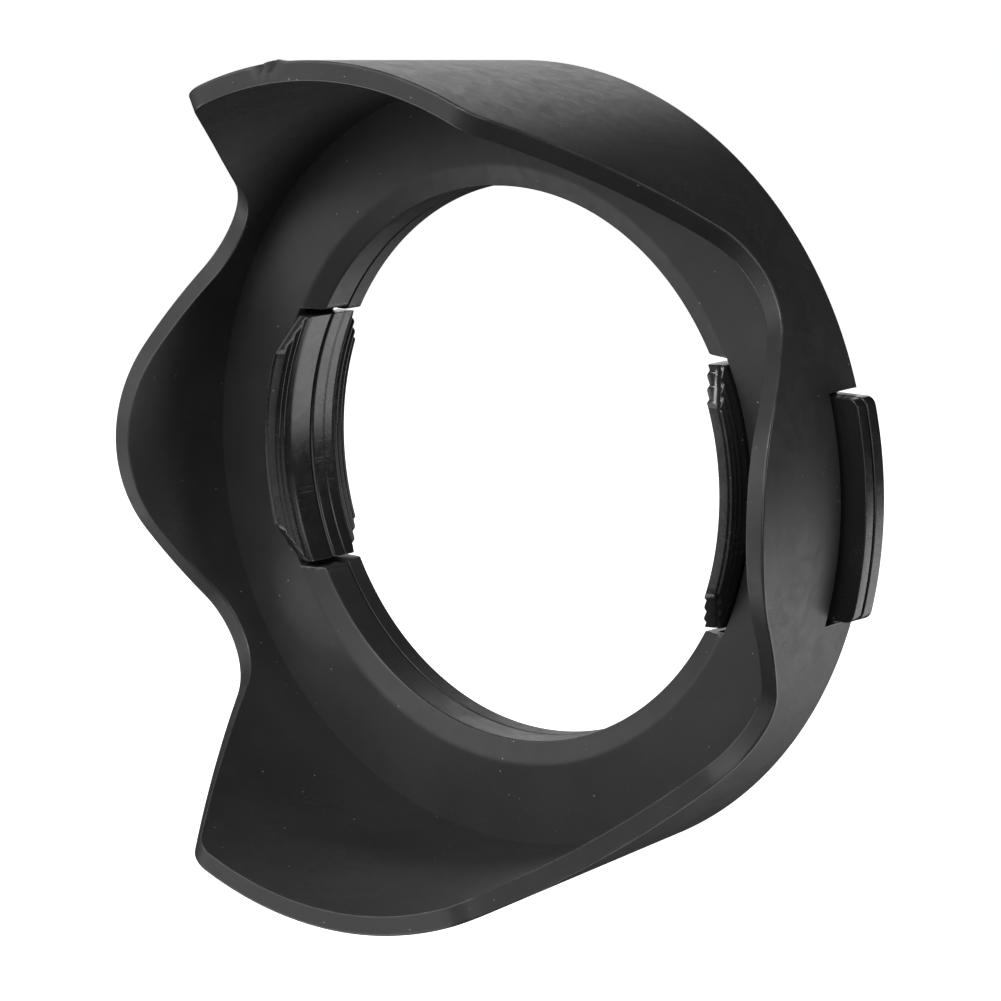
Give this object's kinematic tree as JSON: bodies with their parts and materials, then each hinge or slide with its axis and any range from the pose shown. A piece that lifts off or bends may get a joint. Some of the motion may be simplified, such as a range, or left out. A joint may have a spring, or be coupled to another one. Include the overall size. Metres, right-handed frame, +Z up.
{
  "type": "lens hood",
  "caption": "Clip-on petal lens hood: a flared, scalloped shell on a collar whose sprung toothed jaws grip a lens's filter thread and let go when the side buttons are squeezed.",
  "frame": {"origin": "on the optical axis, in the rear face that seats on the front of the lens", "axes": "+Y along the optical axis towards the camera, petals towards -Y; +Z up through the middle of a long petal; +X to the right, through the middle of a side button"},
  "size_m": [0.1006, 0.042, 0.0992],
  "materials": {
    "shell_plastic": "satin black moulded",
    "cover_plastic": "satin black moulded",
    "clip_plastic": "smooth black moulded, semi-gloss",
    "screw_steel": "blackened steel",
    "spring_steel": "drawn bright wire"
  },
  "bodies": {
    "housing": {"petal_shell": "shell_plastic", "rear_cover": "cover_plastic", "cover_screw_1": "screw_steel", "cover_screw_2": "screw_steel", "cover_screw_3": "screw_steel", "cover_screw_4": "screw_steel", "cover_screw_5": "screw_steel", "cover_screw_6": "screw_steel", "right_spring_upper": "spring_steel", "right_spring_lower": "spring_steel", "right_spring_pin_upper": "spring_steel", "right_spring_pin_lower": "spring_steel", "left_spring_upper": "spring_steel", "left_spring_lower": "spring_steel", "left_spring_pin_upper": "spring_steel", "left_spring_pin_lower": "spring_steel"},
    "right_clip": {"right_clip_front": "clip_plastic", "right_clip_rear": "clip_plastic", "right_clip_screw_upper": "screw_steel", "right_clip_screw_lower": "screw_steel"},
    "left_clip": {"left_clip_front": "clip_plastic", "left_clip_rear": "clip_plastic", "left_clip_screw_upper": "screw_steel", "left_clip_screw_lower": "screw_steel"}
  },
  "joints": [
    {"name": "right_clip_slide", "type": "slide", "parent": "housing", "child": "right_clip", "axis": [-1, 0, 0], "range_m": [0, 0.002], "stiffness_N_per_m": 800, "springref_m": -0.002, "deforming": ["right_spring_upper", "right_spring_lower"]},
    {"name": "left_clip_slide", "type": "slide", "parent": "housing", "child": "left_clip", "axis": [1, 0, 0], "range_m": [0, 0.002], "stiffness_N_per_m": 800, "springref_m": -0.002, "deforming": ["left_spring_upper", "left_spring_lower"]}
  ]
}
